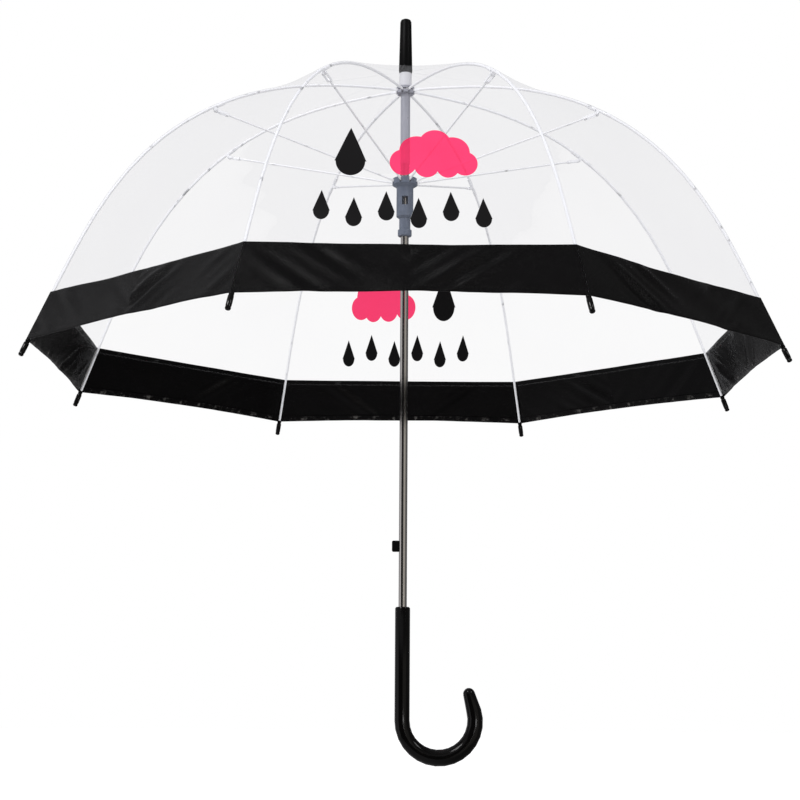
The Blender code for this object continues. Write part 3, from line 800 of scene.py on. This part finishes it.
def build_canopy():
    for rib in range(RIB_COUNT):
        for side in SIDE_NAMES:
            for film_part in FILM_PARTS:
                film_strip(*film_part, rib, side)
            border_strip(rib, side)
        rib_splice(rib)
        hem_tie(rib)


# CAD nodes that stay

LOOK_OF_SLOT = {
    "steel": "steel", "gloss_black": "gloss_black", "tip_black": "gloss_black",
    "satin_black": "satin_black", "smoke": "smoke", "milky": "milky",
    "white_metal": "white_metal", "film": "film", "band_black": "border",
}
LOOK_OF_NODE = {"stop_sleeve": "smoke_light", "top_notch": "smoke_light"}
WELD_REACH = 0.01 * MM
SHARP_ANGLE = math.radians(38)


def shade_round(piece):
    """Smooth shading across a node's gentle edges. Its points stay where they are."""
    stored = piece.data.attributes.get("custom_normal")
    if stored:
        piece.data.attributes.remove(stored)
    piece.data.polygons.foreach_set("use_smooth", [True] * len(piece.data.polygons))
    weld = piece.modifiers.new("Weld", "WELD")
    weld.merge_threshold = WELD_REACH
    crease = piece.modifiers.new("Crease", "EDGE_SPLIT")
    crease.split_angle = SHARP_ANGLE
    crease.use_edge_sharp = False


def dress_frame():
    slot_of = {entry["node"]: entry["material_slot"] for entry in frame["record"]["subparts"]}
    for name, piece in frame["nodes"].items():
        look = LOOKS[LOOK_OF_NODE.get(name, LOOK_OF_SLOT[slot_of[name]])]
        for material_slot in piece.material_slots:
            material_slot.material = look
        shade_round(piece)


# Stage


def soft_light(name, place, target, size, power):
    lamp = bpy.data.lights.new(name, "AREA")
    lamp.shape = "RECTANGLE"
    lamp.size, lamp.size_y = size
    lamp.energy = power
    made = bpy.data.objects.new(name, lamp)
    made.location = place
    made.rotation_euler = (Vector(target) - Vector(place)).to_track_quat("-Z", "Y").to_euler()
    bpy.context.scene.collection.objects.link(made)


def build_world():
    """White to the camera. What the surfaces mirror is a dimmer studio with a dark wall in front."""
    world = bpy.data.worlds.new("studio")
    bpy.context.scene.world = world
    shade = Shade(world)
    direction = shade.add("ShaderNodeTexCoord", output="Generated")
    sideways, depth, upward = shade.split(direction)
    front = shade.ramp(depth, 0.1, -0.1)
    room = shade.mix(shade.ramp(sideways, -0.2, 0.5), (0.40, 0.40, 0.41, 1), (0.13, 0.13, 0.13, 1))
    wall = shade.mix(shade.ramp(sideways, 0.05, 0.15), (0.03, 0.03, 0.03, 1), (0.50, 0.48, 0.44, 1))
    wall = shade.mix(shade.ramp(sideways, 0.80, 0.88), wall, (0.16, 0.16, 0.16, 1))
    wall = shade.mix(shade.ramp(sideways, -0.82, -0.90), wall, (0.80, 0.79, 0.80, 1))
    level = shade.ramp(shade.math("ABSOLUTE", upward), 0.45, 0.30)
    room = shade.mix(shade.math("MULTIPLY", front, level), room, wall)
    scattered = shade.add("ShaderNodeLightPath", output="Is Diffuse Ray")
    color = shade.mix(scattered, room, (0.80, 0.80, 0.81, 1))
    seen = shade.add("ShaderNodeLightPath", output="Is Camera Ray")
    color = shade.mix(seen, color, (1, 1, 1, 1))
    shade.add("ShaderNodeOutputWorld", {"Surface": shade.add("ShaderNodeBackground", {"Color": color})})


# The floor is grey under the umbrella, so that the clear film shows against it, and white far off
FLOOR_DROP = 300 * MM
FLOOR_RADIUS = 14
GREY_WITHIN = 1.2
WHITE_BEYOND = 4.2


def build_floor():
    low = CAD_BOX[0].z - FLOOR_DROP
    bpy.ops.mesh.primitive_circle_add(
        vertices=96, radius=FLOOR_RADIUS, fill_type="NGON", location=(0, 0, low)
    )
    floor = bpy.context.object
    floor.name = "floor"
    shade = new_shade("floor_white")
    from_middle = shade.add(
        "ShaderNodeVectorMath", {0: object_place(shade)}, operation="LENGTH", output="Value"
    )
    far_off = shade.ramp(from_middle, GREY_WITHIN, WHITE_BEYOND)
    glow = shade.between(far_off, 0.42, 1.0)
    surface = shade.principled(
        Base_Color=(0.24, 0.24, 0.24, 1), Roughness=0.9, Specular_IOR_Level=0.0,
        Emission_Color=(1, 1, 1, 1), Emission_Strength=glow,
    )
    floor.data.materials.append(shade.finish(surface))
    floor.visible_glossy = False


# The camera looks up a little, from below the rim
CAMERA_DISTANCE = 1.944
CAMERA_RISE = math.radians(9.28)
CAMERA_TURN = math.radians(-0.66)
CAMERA_ROLL = math.radians(0.34)
CAMERA_LENS = 78.95
CAMERA_SENSOR = 36
CAMERA_TARGET = Vector((-4.2 * MM, 0, 289.0 * MM))


def build_camera():
    camera = bpy.data.cameras.new("camera")
    camera.lens = CAMERA_LENS
    camera.sensor_width = CAMERA_SENSOR
    camera.clip_start, camera.clip_end = 0.05, 60
    made = bpy.data.objects.new("camera", camera)
    look = Vector((
        -math.sin(CAMERA_TURN) * math.cos(CAMERA_RISE),
        math.cos(CAMERA_TURN) * math.cos(CAMERA_RISE),
        math.sin(CAMERA_RISE),
    ))
    made.location = CAMERA_TARGET - look * CAMERA_DISTANCE
    turn = look.to_track_quat("-Z", "Y").to_matrix().to_4x4()
    made.rotation_euler = turn.to_euler()
    made.rotation_euler.rotate_axis("Z", CAMERA_ROLL)
    bpy.context.scene.collection.objects.link(made)
    bpy.context.scene.camera = made


dress_frame()
build_canopy()
build_world()
build_floor()
soft_light("key", (-1.7, -1.9, 2.6), (0, 0, 0.3), (1.3, 0.9), 60)
soft_light("fill", (2.0, -1.4, 2.2), (0, 0, 0.2), (0.9, 0.7), 14)
soft_light("low", (0.5, -1.4, -0.05), (0.05, 0, -0.09), (0.5, 0.06), 1.1)
build_camera()
bpy.context.scene.view_settings.view_transform = "Standard"
